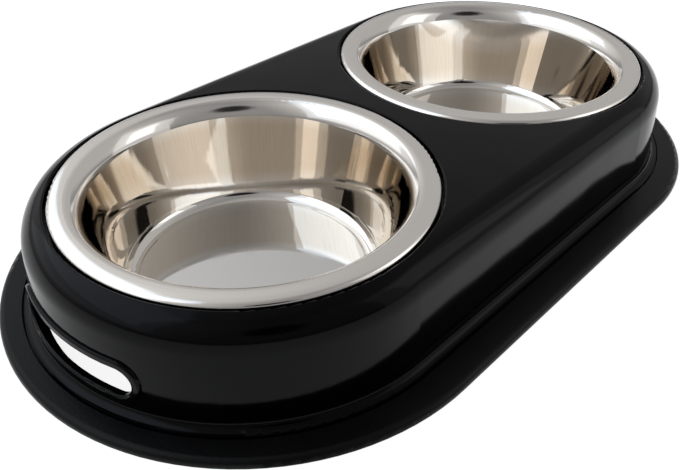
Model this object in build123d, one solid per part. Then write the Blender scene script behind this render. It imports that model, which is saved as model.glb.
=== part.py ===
"""Double pet bowl: two lift-out steel bowls hang in an obround moulded stand on a rubber foot ring.

Millimetres. X runs along the two bowls, Z is up, and the rest face lies on Z zero.
"""
import os
from math import acos, cos, degrees, isclose, radians, sin, tan

from build123d import *

# Stand: an open-bottomed moulding whose end walls are concentric with the bowls
bridge_width = 15.0
deck_height = 51.0
wall_offset = 11.9
shoulder_radius = 13.7
wall_draft = 4.0
wall_thickness = 2.0
flare_radius = 4.0
lip_land = 0.6
lip_thickness = 2.2
well_edge_round = 0.8
collar_depth = 5.0
rib_thickness = 2.0
rib_depth = 26.0

# Hand slot in each end wall, with a raised frame round it
slot_length = 72.0
slot_height = 13.2
slot_centre_height = 17.8
frame_width = 3.8
frame_rise = 1.3
frame_round = 1.1

# Rubber foot ring: a channel that grips the foot of the stand, with a broad brim outside it
brim_side_width = 14.2
brim_end_width = 9.7
brim_round = 2.8
ring_floor = 1.2
ring_edge_round = 0.5
upstand_height = 4.0
upstand_thickness = 2.0

# Steel bowls, pressed from one sheet with a rolled rim
sheet = 0.6
rim_radius = 85.5
rim_rise = 1.0
rim_top_width = 7.3
rim_crown_round = 26.0
rim_inner_round = 4.8
rim_inner_turn = 42.0
neck_round = 13.3
curl_round = 2.45
curl_sweep = 130.0
wall_slope = 15.0
floor_fillet = 6.5
step_rise = 0.8
step_run = 1.5
bowl_ground_gap = 0.65

# Clearances, and how far every cut runs past what it cuts
seat_clearance = 0.3
well_gap = 1.0
hole_clearance = 2.5
ring_gap = 0.5
overrun = 2.0

# Heights, radii and places that follow from the sizes above
bowl_spacing = 2 * rim_radius + bridge_width
wall_top_radius = rim_radius + wall_offset
crest_height = deck_height + rim_rise
crest_radius = rim_radius - rim_top_width
shoulder_foot = deck_height - shoulder_radius
lip_bottom = ring_floor
lip_top = lip_bottom + lip_thickness
draft = radians(wall_draft)
slope = radians(wall_slope)

# The rim's arcs, each tangent to the next: neck, inner roll, crown and curl
roll_centre = (crest_radius, crest_height - rim_inner_round)
roll_end = radians(90 + rim_inner_turn)
neck_shift = rim_inner_round - neck_round
neck_centre = (roll_centre[0] + neck_shift * cos(roll_end), roll_centre[1] + neck_shift * sin(roll_end))
crown_centre = (crest_radius, crest_height - rim_crown_round)
crown_reach = rim_crown_round - curl_round
crown_end = acos((rim_radius - curl_round - crest_radius) / crown_reach)
curl_centre = (rim_radius - curl_round, crown_centre[1] + crown_reach * sin(crown_end))

seat_height = curl_centre[1] - curl_round - seat_clearance
well_radius = rim_radius + well_gap


def wall_radius(height):
    """Outer radius of the drafted wall at a height."""
    return wall_top_radius + (shoulder_foot - height) * tan(draft)


def bowl_radius(height):
    """Outside radius of a bowl's conical wall at a height."""
    start = neck_centre[0] - (neck_round - sheet) * cos(slope)
    start_height = neck_centre[1] + (neck_round - sheet) * sin(slope)
    return start - (start_height - height) * tan(slope)


flare_tangent = flare_radius * tan((radians(90) - draft) / 2)
lip_radius = wall_radius(lip_top) + flare_tangent + lip_land
foot_inner_radius = wall_radius(lip_bottom) - wall_thickness
brim_radius = lip_radius + ring_gap + brim_side_width
brim_arc_spacing = bowl_spacing - 2 * (brim_side_width - brim_end_width)
hole_radius = bowl_radius(seat_height) + hole_clearance

# Sections are drawn with the radius across and the height up, on the plane square to the long side
section = Plane(origin=(0, 0, 0), x_dir=(0, -1, 0), z_dir=(-1, 0, 0))
at_bowl = Pos(bowl_spacing / 2, 0, 0)


def half_turn(profile):
    """Turns a section through half a circle about Z, on the +X side."""
    return revolve(section * profile, Axis.Z, 180)


def straight(profile):
    """Carries a section along both straight sides, from the middle of the stand to the bowl's axis."""
    side = extrude(section * profile, bowl_spacing / 2, dir=(1, 0, 0))
    return side + mirror(side, Plane.XZ)


def slot_plan(radius, height):
    """A prism with the stand's obround plan, from Z zero up."""
    return extrude(SlotCenterToCenter(bowl_spacing, 2 * radius), height)


def outer_skin():
    """Deck edge, shoulder, drafted wall and flared foot, from the middle of the deck to the lip."""
    corner = wall_radius(lip_top)
    flare_start = (corner - flare_tangent * sin(draft), lip_top + flare_tangent * cos(draft))
    flare_end = (corner + flare_tangent, lip_top)
    shoulder_centre = (wall_top_radius - shoulder_radius, shoulder_foot)
    return [
        Line((0, deck_height), (shoulder_centre[0], deck_height)),
        CenterArc(shoulder_centre, shoulder_radius, 0, 90),
        Line((wall_top_radius, shoulder_foot), flare_start),
        TangentArc(flare_start, flare_end, tangent=(sin(draft), -cos(draft))),
        Polyline(flare_end, (lip_radius, lip_top), (lip_radius, lip_bottom)),
    ]


def shell_section():
    """The moulding's wall in section, closed along the inside."""
    inner_top = (wall_top_radius - wall_thickness, shoulder_foot)
    shoulder_centre = (wall_top_radius - shoulder_radius, shoulder_foot)
    under_deck = deck_height - wall_thickness
    inside = [
        Polyline((lip_radius, lip_bottom), (foot_inner_radius, lip_bottom), inner_top),
        CenterArc(shoulder_centre, shoulder_radius - wall_thickness, 0, 90),
        Polyline((shoulder_centre[0], under_deck), (0, under_deck), (0, deck_height)),
    ]
    return make_face(outer_skin() + inside)


def solid_section():
    """The same outside, filled, to trim what stands inside the moulding."""
    return make_face(outer_skin() + [Polyline((lip_radius, lip_bottom), (0, lip_bottom), (0, deck_height))])


def round_block(radius, low, high):
    """Section of a round block on the bowl's axis, between two heights."""
    return Pos(0, low, 0) * Rectangle(radius, high - low, align=(Align.MIN, Align.MIN))


def seat_blocks():
    """Sections of the stock for a bowl's well and ledge, and for the collar below them."""
    ledge_low = seat_height - wall_thickness
    return [
        round_block(well_radius + wall_thickness, ledge_low, deck_height - wall_thickness),
        round_block(hole_radius + wall_thickness, ledge_low - collar_depth, seat_height),
    ]


def seat_spaces():
    """Sections of the room for a bowl's rim, and for the bowl below it."""
    return [
        round_block(well_radius, seat_height, deck_height + overrun),
        round_block(hole_radius, lip_bottom, deck_height),
    ]


def end_section():
    """The end of the stand in section: shell, well, ledge and collar all turn about the bowl's axis."""
    face = shell_section() + seat_blocks() - seat_spaces()
    mouth = face.vertices().sort_by_distance((well_radius, deck_height))[0]
    return fillet(mouth, well_edge_round)


def middle():
    """The straight part of the +X half, with its side of the bowl's well and half of the middle rib."""
    body = straight(shell_section())
    rib = Box(rib_thickness / 2, 2 * wall_top_radius, rib_depth, align=(Align.MIN, Align.CENTER, Align.MIN))
    body += Pos(0, 0, deck_height - wall_thickness - rib_depth) * rib & straight(solid_section())
    for block in seat_blocks():
        body += at_bowl * Rot(0, 0, 180) * half_turn(block)
    for space in seat_spaces():
        body -= at_bowl * revolve(section * space, Axis.Z)
    walls = body.faces().filter_by(GeomType.CYLINDER).filter_by(lambda face: isclose(face.radius, well_radius))
    mouth = [edge for edge in walls.edges() if edge.bounding_box().min.Z > seat_height + well_edge_round]
    return fillet([edge for edge in mouth if edge.geom_type != GeomType.LINE], well_edge_round)


def slot_prism(length, height):
    """An obround bar along X, through the +X end wall at the hand slot's height."""
    face = Plane(origin=(bowl_spacing / 2, 0, slot_centre_height), x_dir=(0, 1, 0), z_dir=(1, 0, 0))
    return extrude(face * SlotOverall(length, height), lip_radius + overrun)


def frame_block():
    """Raised block with a rounded edge that follows the curved end wall, before the slot is cut."""
    frame_height = slot_height + 2 * frame_width
    low = slot_centre_height - frame_height / 2 - overrun
    high = slot_centre_height + frame_height / 2 + overrun
    skin = wall_thickness / 2
    band = at_bowl * half_turn(make_face(Polyline(
        (wall_radius(low) - skin, low),
        (wall_radius(low) + frame_rise, low),
        (wall_radius(high) + frame_rise, high),
        (wall_radius(high) - skin, high),
        close=True,
    )))
    block = band & slot_prism(slot_length + 2 * frame_width, frame_height)
    crown = block.faces().sort_by(lambda face: face.center().X)[-1]
    return fillet(crown.edges(), frame_round)


def stand():
    """The moulded stand: one half with its well and framed hand slot, and the same half mirrored."""
    half = middle() + at_bowl * half_turn(end_section())
    half += frame_block()
    half -= slot_prism(slot_length, slot_height)
    crown = half.faces().filter_by(GeomType.CONE).sort_by(lambda face: face.center().X)[-1]
    half = fillet(crown.inner_wires().edges(), frame_round)
    return half + mirror(half, Plane.YZ)


def foot_ring():
    """The rubber ring: channel under the stand's lip, upstand inside it and brim outside it."""
    brim = extrude(SlotCenterToCenter(brim_arc_spacing, 2 * brim_radius), lip_top)
    brim -= Pos(0, 0, ring_floor) * slot_plan(lip_radius + ring_gap, lip_top)
    brim = fillet(brim.faces().sort_by(Axis.Z)[-1].outer_wire().edges(), brim_round)
    brim = fillet(brim.faces().sort_by(Axis.Z)[-1].inner_wires().edges(), ring_edge_round)
    upstand_radius = foot_inner_radius - ring_gap - upstand_height * tan(draft)
    ring = brim + slot_plan(upstand_radius, ring_floor + upstand_height)
    return ring - slot_plan(upstand_radius - upstand_thickness, ring_floor + upstand_height)


def bowl_section():
    """Half section of a bowl: floor, step ring, fillet, conical wall, neck and rolled rim."""
    inside = bowl_ground_gap + sheet
    wall_turn = 90 - wall_slope
    wall_top = (neck_centre[0] - neck_round * cos(slope), neck_centre[1] + neck_round * sin(slope))
    corner = wall_top[0] - (wall_top[1] - inside) * tan(slope)
    floor_edge = corner - floor_fillet * tan(radians(wall_turn) / 2)
    fillet_centre = (floor_edge, inside + floor_fillet)

    def face_side(depth):
        """One face of the sheet, from the axis to the tip of the curl, set back by a depth."""
        neck = neck_round - depth
        knuckle = floor_fillet + depth
        level = inside + step_rise - depth
        top = (neck_centre[0] - neck * cos(slope), neck_centre[1] + neck * sin(slope))
        bottom = (fillet_centre[0] + knuckle * cos(slope), fillet_centre[1] - knuckle * sin(slope))
        return [
            Polyline((0, level), (floor_edge - step_run, level), (floor_edge, inside - depth)),
            CenterArc(fillet_centre, knuckle, -90, wall_turn),
            Line(bottom, top),
            CenterArc(neck_centre, neck, 90 + rim_inner_turn, wall_turn - rim_inner_turn),
            CenterArc(roll_centre, rim_inner_round - depth, 90, rim_inner_turn),
            CenterArc(crown_centre, rim_crown_round - depth, degrees(crown_end), 90 - degrees(crown_end)),
            CenterArc(curl_centre, curl_round - depth, -curl_sweep, curl_sweep + degrees(crown_end)),
        ]

    tip = radians(-curl_sweep)
    curl_tip = [
        (curl_centre[0] + reach * cos(tip), curl_centre[1] + reach * sin(tip))
        for reach in (curl_round, curl_round - sheet)
    ]
    axis = Line((0, inside + step_rise), (0, inside + step_rise - sheet))
    return make_face(face_side(0) + [Line(*curl_tip)] + face_side(sheet) + [axis])


def bowl():
    """One bowl on its own axis."""
    return revolve(Plane.XZ * bowl_section(), Axis.Z)


os.makedirs("parts", exist_ok=True)
one_bowl = bowl()
nodes = {
    "stand": stand(),
    "foot_ring": foot_ring(),
    "left_bowl": Pos(-bowl_spacing / 2, 0, 0) * one_bowl,
    "right_bowl": Pos(bowl_spacing / 2, 0, 0) * one_bowl,
}
for name, solid in nodes.items():
    export_step(solid, f"parts/{name}.step")
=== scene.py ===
"""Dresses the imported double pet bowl: camera, soft studio and procedural materials on the CAD nodes."""
from math import cos, radians, sin

import bpy
from mathutils import Matrix, Vector


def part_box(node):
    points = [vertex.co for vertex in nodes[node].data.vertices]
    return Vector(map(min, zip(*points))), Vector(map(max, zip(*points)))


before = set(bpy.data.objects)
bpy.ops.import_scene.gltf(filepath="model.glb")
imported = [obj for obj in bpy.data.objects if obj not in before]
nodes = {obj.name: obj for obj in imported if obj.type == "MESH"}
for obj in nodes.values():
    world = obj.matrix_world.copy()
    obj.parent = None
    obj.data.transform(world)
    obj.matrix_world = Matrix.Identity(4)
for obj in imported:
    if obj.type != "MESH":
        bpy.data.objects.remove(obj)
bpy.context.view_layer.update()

# Units: lengths are in metres and angles in degrees, unless a comment says otherwise.
# A bearing runs from +Y towards +X. Brightness is plain radiance, where 1 shows as white.
UP = Vector((0, 0, 1))
WHITE = (1.0, 1.0, 1.0, 1.0)

# Camera: the picture's width and the focal length are in pixels, the sensor is in millimetres
PICTURE_WIDTH = 680
FOCAL_PIXELS = 782.7
SENSOR_WIDTH = 36.0
CAMERA_PLACE = (-0.2801, -0.2281, 0.2342)
CAMERA_YAW = 47.31
CAMERA_PITCH = 36.26
CAMERA_ROLL = -0.18
CAMERA_CLIP = 0.01

# Floor: one colour for the light that it throws back, and another colour and a glow for the eye
FLOOR_HALF = 30.0
FLOOR_COLOUR = (0.92, 0.92, 0.92, 1.0)
FLOOR_SEEN = (0.3, 0.3, 0.3, 1.0)
FLOOR_GLOW = 0.87

# Soft lights: low and high are the heights of the lower and the upper edge
DAYLIGHT = (0.9, 0.99, 1.1)
SKYLIGHT = (0.8, 0.98, 1.18)
PLAIN = (1.0, 1.0, 1.0)
SOFTBOXES = {
    "key_softbox": dict(bearing=-51.0, distance=1.1, width=1.9, low=0.31, high=2.6,
                        radiance=0.3, tint=DAYLIGHT),
    "core_softbox": dict(bearing=-36.0, distance=1.08, width=2.4, low=0.62, high=4.0,
                         radiance=0.48, tint=SKYLIGHT),
    "fill_softbox": dict(bearing=145.0, distance=0.6, width=0.61, low=0.085, high=0.715,
                         radiance=0.3, tint=PLAIN),
    "fill_middle": dict(bearing=145.0, distance=0.59, width=0.27, low=0.19, high=0.6,
                        radiance=0.5, tint=PLAIN),
}
# Power of an area lamp, in watts, for each square metre and each unit of radiance
AREA_LAMP_FACTOR = 4.0

# Room: grey levels beyond the object and behind the camera, and the cosines from the camera's
# bearing between which one passes into the other
ROOM_FAR = 0.5
ROOM_NEAR = 0.3
ROOM_TURN = (-0.8, 0.3)
# Share of the light at the zenith and at the horizon, and the elevations of each passage
ROOM_TOP_SHARE = 0.68
ROOM_TOP_RISE = (50.0, 75.0)
ROOM_LOW_SHARE = 0.35
ROOM_LOW_RISE = (2.0, 15.0)
# Wide soft glow round the key light
GLOW_LEVEL = 0.43
GLOW_BEARING = -39.0
GLOW_ELEVATION = 32.0
GLOW_REACH = 75.0
# Dark patch near the camera, as a share of the room's level, and its two radii
SHADE_SHARE = 0.05
SHADE_BEARING = -148.0
SHADE_ELEVATION = 38.0
SHADE_INNER = 8.0
SHADE_OUTER = 15.0
# Elevations between which the white horizon fades into the room
HORIZON_RISE = (2.0, 5.0)

# Stand plastic: noise scales are features per metre
PLASTIC_DARK = (0.0006, 0.0006, 0.0007, 1.0)
PLASTIC_LIGHT = (0.0014, 0.0014, 0.0016, 1.0)
PLASTIC_CLOUD_SCALE = 60.0
PLASTIC_BASE_ROUGH = 0.06
PLASTIC_CLOUD_ROUGH = 0.08
PLASTIC_SPECULAR = 0.1
PLASTIC_TINT = (0.94, 0.95, 1.0, 1.0)
FLOW_SCALE = 22.0
FLOW_STRENGTH = 0.12
FLOW_DEPTH = 0.004
PLASTIC_GRAIN_SCALE = 1400.0
PLASTIC_GRAIN_STRENGTH = 0.03
PLASTIC_GRAIN_DEPTH = 0.0002
SCUFF_TURN = (0.3, 0.2, 0.7)  # radians
SCUFF_SCALE = (30.0, 900.0, 900.0)
SCUFF_RANGE = (0.62, 0.75)
SCUFF_ROUGH = 0.06
DUST_SCALE = 2600.0
DUST_RANGE = (0.77, 0.8)
DUST_SHARE = 0.2
DUST_TONE = (0.2, 0.2, 0.2, 1.0)

# Ring rubber: noise scales are features per metre
RUBBER_DARK = (0.002, 0.002, 0.0022, 1.0)
RUBBER_LIGHT = (0.0045, 0.0045, 0.0048, 1.0)
RUBBER_CLOUD_SCALE = 45.0
RUBBER_BASE_ROUGH = 0.27
RUBBER_CLOUD_ROUGH = 0.1
RUBBER_SPECULAR = 0.12
PEBBLE_SCALE = 1100.0
PEBBLE_STRENGTH = 0.25
PEBBLE_DEPTH = 0.0003

# Bowl steel: zones of the finish and of the tone, by height and, for the bowl's bottom, by radius
bowl_low, bowl_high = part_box("right_bowl")
BOWL_OFFSET = (bowl_low.x + bowl_high.x) / 2
BOTTOM_FADE = (0.0525, 0.0545)
WALL_START = (0.003, 0.015)
WALL_END = (0.0383, 0.0453)
RIM_START = (0.0423, 0.0483)
# The upper wall swells with the square of the height above its start, up to its top
SWELL_START = 0.024
SWELL_TOP = 0.0443
SWELL_CURVE = 1.4
RIM_TONE = (0.80, 0.765, 0.725, 1.0)
BOTTOM_TONE = (0.755, 0.745, 0.73, 1.0)
# The wall's tone is the steel's colour with a painted warm reflection: warmer and darker than the rim
WALL_TONE_AND_PAINTED_REFLECTION = (0.705, 0.635, 0.55, 1.0)
MARK_TONE = (0.63, 0.56, 0.48, 1.0)
STEEL_BASE_ROUGH = 0.01
# Fine rings round the bowl's axis: features round it and per metre along the section
RING_TURN = 1.5
RING_RATE = 5000.0
RING_ROUGH = 0.03
RING_RANGE = (0.35, 0.65)
RING_SATIN = (0.05, 0.15)
RING_STRENGTH = 0.02
RING_BOTTOM_CHANGE = -0.017
RING_DEPTH = 0.00003
# Upright draw marks and slow waves on the wall: features round the axis and per metre of height
MARK_TURN = 130.0
MARK_RATE = 45.0
MARK_RANGE = (0.5, 0.75)
MARK_DEPTH = 0.00008
WAVE_TURN = 7.0
WAVE_RATE = 12.0
WAVE_DEPTH = 0.001
WALL_BUMP_STRENGTH = 0.06
# Faint smudges on the bottom
SMUDGE_SCALE = 70.0
SMUDGE_RANGE = (0.45, 0.7)
SMUDGE_ROUGH = 0.06

# Noise of clouds and smudges; the draw marks share its roughness
FINE_DETAIL = 4.0
FINE_ROUGHNESS = 0.6


def bearing_vector(bearing, elevation=0.0):
    """Unit vector towards a bearing and an elevation."""
    flat = cos(radians(elevation))
    return Vector((sin(radians(bearing)) * flat, cos(radians(bearing)) * flat, sin(radians(elevation))))


def link_object(name, data):
    """Makes an object and puts it in the scene."""
    thing = bpy.data.objects.new(name, data)
    bpy.context.scene.collection.objects.link(thing)
    return thing


def make_camera():
    """Camera at the photograph's place and angle."""
    ahead = bearing_vector(CAMERA_YAW, -CAMERA_PITCH)
    level = bearing_vector(CAMERA_YAW + 90)
    down = ahead.cross(level)
    roll = radians(CAMERA_ROLL)
    right = level * cos(roll) + down * sin(roll)
    up = level * sin(roll) - down * cos(roll)
    lens = bpy.data.cameras.new("camera")
    lens.sensor_width = SENSOR_WIDTH
    lens.lens = FOCAL_PIXELS * SENSOR_WIDTH / PICTURE_WIDTH
    lens.clip_start = CAMERA_CLIP
    camera = link_object("camera", lens)
    turn = Matrix((right, up, -ahead)).transposed().to_4x4()
    camera.matrix_world = Matrix.Translation(CAMERA_PLACE) @ turn
    bpy.context.scene.camera = camera


def input_key(name):
    """A socket's number from a short name such as i2, or else its title from a Python name."""
    if name[0] == "i" and name[1:].isdigit():
        return int(name[1:])
    return name.replace("_", " ")


class Tree:
    """A node tree that is filled by short calls."""

    def __init__(self, owner):
        owner.use_nodes = True
        self.tree = owner.node_tree
        self.tree.nodes.clear()

    def add(self, kind, settings=None, **inputs):
        """Adds a node, sets its properties, and sets or links its inputs by name or by number."""
        made = self.tree.nodes.new(kind)
        for key, value in (settings or {}).items():
            setattr(made, key, value)
        for key, value in inputs.items():
            socket = made.inputs[input_key(key)]
            if isinstance(value, bpy.types.NodeSocket):
                self.tree.links.new(value, socket)
            else:
                socket.default_value = value
        return made

    def math(self, operation, first, second=0.0, third=0.0):
        """A Math node's result."""
        made = self.add("ShaderNodeMath", {"operation": operation}, i0=first, i1=second, i2=third)
        return made.outputs[0]

    def ramp(self, value, low, high, start=0.0, end=1.0):
        """A smooth step from a start level, at the low value, to an end level, at the high one."""
        made = self.add("ShaderNodeMapRange", {"interpolation_type": "SMOOTHSTEP"},
                        Value=value, From_Min=low, From_Max=high, To_Min=start, To_Max=end)
        return made.outputs[0]

    def vector(self, x, y, z):
        """A vector from three values."""
        return self.add("ShaderNodeCombineXYZ", X=x, Y=y, Z=z).outputs[0]

    def noise(self, vector, scale, detail=2.0, roughness=0.5):
        """A Noise texture's value."""
        made = self.add("ShaderNodeTexNoise", Vector=vector, Scale=scale, Detail=detail, Roughness=roughness)
        return made.outputs[0]

    def mix(self, share, first, second):
        """A mix of two colours."""
        made = self.add("ShaderNodeMix", {"data_type": "RGBA"}, i0=share, i6=first, i7=second)
        return made.outputs[2]

    def bump(self, height, strength, distance, normal=None):
        """A bumped normal, on top of another where one is given."""
        made = self.add("ShaderNodeBump", Strength=strength, Distance=distance, Height=height)
        if normal is not None:
            self.tree.links.new(normal, made.inputs["Normal"])
        return made.outputs[0]

    def seen(self):
        """1 for what the eye sees, straight or in a reflection, and 0 for what only lights."""
        path = self.add("ShaderNodeLightPath").outputs
        straight = self.math("MAXIMUM", path["Is Camera Ray"], path["Is Transmission Ray"])
        return self.math("MAXIMUM", straight, path["Is Glossy Ray"])

    def place(self):
        """The place on the object, in the part's own frame."""
        return self.add("ShaderNodeTexCoord").outputs["Object"]

    def surface(self, **inputs):
        """A Principled surface as the material's output."""
        shader = self.add("ShaderNodeBsdfPrincipled", **inputs)
        self.add("ShaderNodeOutputMaterial", Surface=shader.outputs[0])


def make_floor():
    """Plain pale floor: white to the eye and in reflections, and it keeps the object's shadow."""
    mesh = bpy.data.meshes.new("floor")
    corners = [(x * FLOOR_HALF, y * FLOOR_HALF, 0) for x, y in ((-1, -1), (1, -1), (1, 1), (-1, 1))]
    mesh.from_pydata(corners, [], [(0, 1, 2, 3)])
    floor = link_object("floor", mesh)
    material = bpy.data.materials.new("floor")
    tree = Tree(material)
    seen = tree.seen()
    matt = tree.add("ShaderNodeBsdfDiffuse", Color=tree.mix(seen, FLOOR_COLOUR, FLOOR_SEEN))
    glow = tree.add("ShaderNodeEmission", Strength=tree.math("MULTIPLY", seen, FLOOR_GLOW))
    both = tree.add("ShaderNodeAddShader", i0=matt.outputs[0], i1=glow.outputs[0])
    tree.add("ShaderNodeOutputMaterial", Surface=both.outputs[0])
    mesh.materials.append(material)


def make_softbox(name, bearing, distance, width, low, high, radiance, tint):
    """An upright soft light that faces the object and that the camera doesn't see."""
    lamp = bpy.data.lights.new(name, "AREA")
    lamp.shape = "RECTANGLE"
    lamp.color = tint
    lamp.size = width
    lamp.size_y = high - low
    lamp.energy = AREA_LAMP_FACTOR * radiance * width * (high - low)
    towards = bearing_vector(bearing)
    box = link_object(name, lamp)
    place = towards * distance + UP * (low + high) / 2
    turn = Matrix((UP.cross(towards), UP, towards)).transposed().to_4x4()
    box.matrix_world = Matrix.Translation(place) @ turn
    box.visible_camera = False


def make_room():
    """Grey room with a glow round the key light, a dark patch near the camera and a white horizon."""
    world = bpy.data.worlds.new("room")
    bpy.context.scene.world = world
    tree = Tree(world)
    ray = tree.add("ShaderNodeTexCoord").outputs["Generated"]

    def facing(vector):
        """Cosine between the looked-at direction and a vector."""
        made = tree.add("ShaderNodeVectorMath", {"operation": "DOT_PRODUCT"}, i0=ray, i1=vector)
        return made.outputs["Value"]

    rise = facing(UP)

    def climb(elevations, start, end):
        """A level that passes from start to end between two elevations."""
        low, high = (sin(radians(elevation)) for elevation in elevations)
        return tree.ramp(rise, low, high, start, end)

    side = tree.ramp(facing(bearing_vector(CAMERA_YAW)), *ROOM_TURN, ROOM_NEAR, ROOM_FAR)
    shade = facing(bearing_vector(SHADE_BEARING, SHADE_ELEVATION))
    shade = tree.ramp(shade, cos(radians(SHADE_OUTER)), cos(radians(SHADE_INNER)), 1.0, SHADE_SHARE)
    glow = facing(bearing_vector(GLOW_BEARING, GLOW_ELEVATION))
    glow = tree.ramp(glow, cos(radians(GLOW_REACH)), 1.0, 0.0, GLOW_LEVEL)
    level = tree.math("MULTIPLY_ADD", side, shade, glow)
    level = tree.math("MULTIPLY", level, climb(ROOM_TOP_RISE, 1.0, ROOM_TOP_SHARE))
    level = tree.math("MULTIPLY", level, climb(ROOM_LOW_RISE, ROOM_LOW_SHARE, 1.0))
    white = tree.math("MULTIPLY", climb(HORIZON_RISE, 1.0, 0.0), tree.seen())
    level = tree.math("MULTIPLY_ADD", tree.math("SUBTRACT", 1.0, level), white, level)
    background = tree.add("ShaderNodeBackground", Color=WHITE, Strength=level)
    tree.add("ShaderNodeOutputWorld", Surface=background.outputs[0])


def stand_plastic():
    """Glossy black moulding: faint flow waviness, fine scuffs and a little dust."""
    material = bpy.data.materials.new("stand_plastic")
    tree = Tree(material)
    place = tree.place()
    flow = tree.noise(place, FLOW_SCALE, detail=1.0)
    grain = tree.noise(place, PLASTIC_GRAIN_SCALE)
    cloud = tree.noise(place, PLASTIC_CLOUD_SCALE, FINE_DETAIL, FINE_ROUGHNESS)
    drawn = tree.add("ShaderNodeMapping", Vector=place, Rotation=SCUFF_TURN, Scale=SCUFF_SCALE).outputs[0]
    scuffs = tree.ramp(tree.noise(drawn, 1.0, detail=3.0), *SCUFF_RANGE)
    dust = tree.ramp(tree.noise(place, DUST_SCALE, detail=1.0), *DUST_RANGE)
    rough = tree.math("MULTIPLY_ADD", cloud, PLASTIC_CLOUD_ROUGH, PLASTIC_BASE_ROUGH)
    rough = tree.math("MULTIPLY_ADD", scuffs, SCUFF_ROUGH, rough)
    tone = tree.mix(cloud, PLASTIC_DARK, PLASTIC_LIGHT)
    tone = tree.mix(tree.math("MULTIPLY", dust, DUST_SHARE), tone, DUST_TONE)
    normal = tree.bump(flow, FLOW_STRENGTH, FLOW_DEPTH)
    normal = tree.bump(grain, PLASTIC_GRAIN_STRENGTH, PLASTIC_GRAIN_DEPTH, normal)
    tree.surface(Base_Color=tone, Roughness=rough, Normal=normal,
                 Specular_IOR_Level=PLASTIC_SPECULAR, Specular_Tint=PLASTIC_TINT)
    return material


def ring_rubber():
    """Matt charcoal rubber with a fine pebble grain."""
    material = bpy.data.materials.new("ring_rubber")
    tree = Tree(material)
    place = tree.place()
    pebbles = tree.noise(place, PEBBLE_SCALE, detail=3.0)
    cloud = tree.noise(place, RUBBER_CLOUD_SCALE, FINE_DETAIL, FINE_ROUGHNESS)
    tone = tree.mix(cloud, RUBBER_DARK, RUBBER_LIGHT)
    rough = tree.math("MULTIPLY_ADD", cloud, RUBBER_CLOUD_ROUGH, RUBBER_BASE_ROUGH)
    normal = tree.bump(pebbles, PEBBLE_STRENGTH, PEBBLE_DEPTH)
    tree.surface(Base_Color=tone, Roughness=rough, Normal=normal, Specular_IOR_Level=RUBBER_SPECULAR)
    return material


def bowl_steel():
    """Pressed steel: satin rim, wall with draw marks and a painted warm reflection in its warmer, darker
    tone, mirror bottom with faint smudges.
    """
    material = bpy.data.materials.new("bowl_steel")
    tree = Tree(material)
    place = tree.place()
    axes = tree.add("ShaderNodeSeparateXYZ", Vector=place).outputs
    along = tree.math("SUBTRACT", tree.math("ABSOLUTE", axes["X"]), BOWL_OFFSET)
    across = axes["Y"]
    height = axes["Z"]
    across_squared = tree.math("MULTIPLY", across, across)
    radius = tree.math("SQRT", tree.math("MULTIPLY_ADD", along, along, across_squared))
    cosine = tree.math("DIVIDE", along, radius)
    sine = tree.math("DIVIDE", across, radius)

    def around(turn, path, rate):
        """A noise's place by the direction round the bowl's axis and by a path along its section."""
        step = tree.math("MULTIPLY", path, rate)
        return tree.vector(tree.math("MULTIPLY", cosine, turn), tree.math("MULTIPLY", sine, turn), step)

    # Patterns
    section = tree.math("ADD", radius, height)
    rings = tree.noise(around(RING_TURN, section, RING_RATE), 1.0, detail=3.0)
    marks = tree.noise(around(MARK_TURN, height, MARK_RATE), 1.0, detail=3.0, roughness=FINE_ROUGHNESS)
    waves = tree.noise(around(WAVE_TURN, height, WAVE_RATE), 1.0)
    smudges = tree.ramp(tree.noise(place, SMUDGE_SCALE, FINE_DETAIL, FINE_ROUGHNESS), *SMUDGE_RANGE)

    # Zones, each 1 inside and 0 outside
    wall = tree.math("MULTIPLY", tree.ramp(height, *WALL_START), tree.ramp(height, *WALL_END, 1.0, 0.0))
    rim = tree.ramp(height, *RIM_START)
    bottom = tree.ramp(radius, *BOTTOM_FADE, 1.0, 0.0)

    # Colour: the wall's warmer, darker tone is a painted warm reflection laid over the steel's own colour
    tone = tree.mix(bottom, RIM_TONE, BOTTOM_TONE)
    tone = tree.mix(wall, tone, WALL_TONE_AND_PAINTED_REFLECTION)
    drawn = tree.math("MULTIPLY", wall, tree.ramp(marks, *MARK_RANGE))
    tone = tree.mix(drawn, tone, MARK_TONE)

    # Roughness
    rough = tree.math("MULTIPLY_ADD", rings, RING_ROUGH, STEEL_BASE_ROUGH)
    rough = tree.math("MULTIPLY_ADD", tree.math("MULTIPLY", bottom, smudges), SMUDGE_ROUGH, rough)
    rough = tree.math("MULTIPLY_ADD", rim, tree.ramp(rings, *RING_RANGE, *RING_SATIN), rough)

    # Relief
    above = tree.math("SUBTRACT", tree.math("MINIMUM", height, SWELL_TOP), SWELL_START)
    above = tree.math("MAXIMUM", above, 0.0)
    swell = tree.math("MULTIPLY", tree.math("MULTIPLY", above, above), SWELL_CURVE)
    wall_strength = tree.math("MULTIPLY", wall, WALL_BUMP_STRENGTH)
    ring_strength = tree.math("MULTIPLY_ADD", bottom, RING_BOTTOM_CHANGE, RING_STRENGTH)
    normal = tree.bump(swell, 1.0, 1.0)
    normal = tree.bump(waves, wall_strength, WAVE_DEPTH, normal)
    normal = tree.bump(marks, wall_strength, MARK_DEPTH, normal)
    normal = tree.bump(rings, ring_strength, RING_DEPTH, normal)
    tree.surface(Base_Color=tone, Metallic=1.0, Roughness=rough, Normal=normal)
    return material


def dress(node, material):
    """Gives a CAD node one material."""
    nodes[node].data.materials.clear()
    nodes[node].data.materials.append(material)


make_camera()
make_floor()
for softbox, values in SOFTBOXES.items():
    make_softbox(softbox, **values)
make_room()
bpy.context.scene.view_settings.view_transform = "Standard"

steel = bowl_steel()
dress("stand", stand_plastic())
dress("foot_ring", ring_rubber())
dress("left_bowl", steel)
dress("right_bowl", steel)
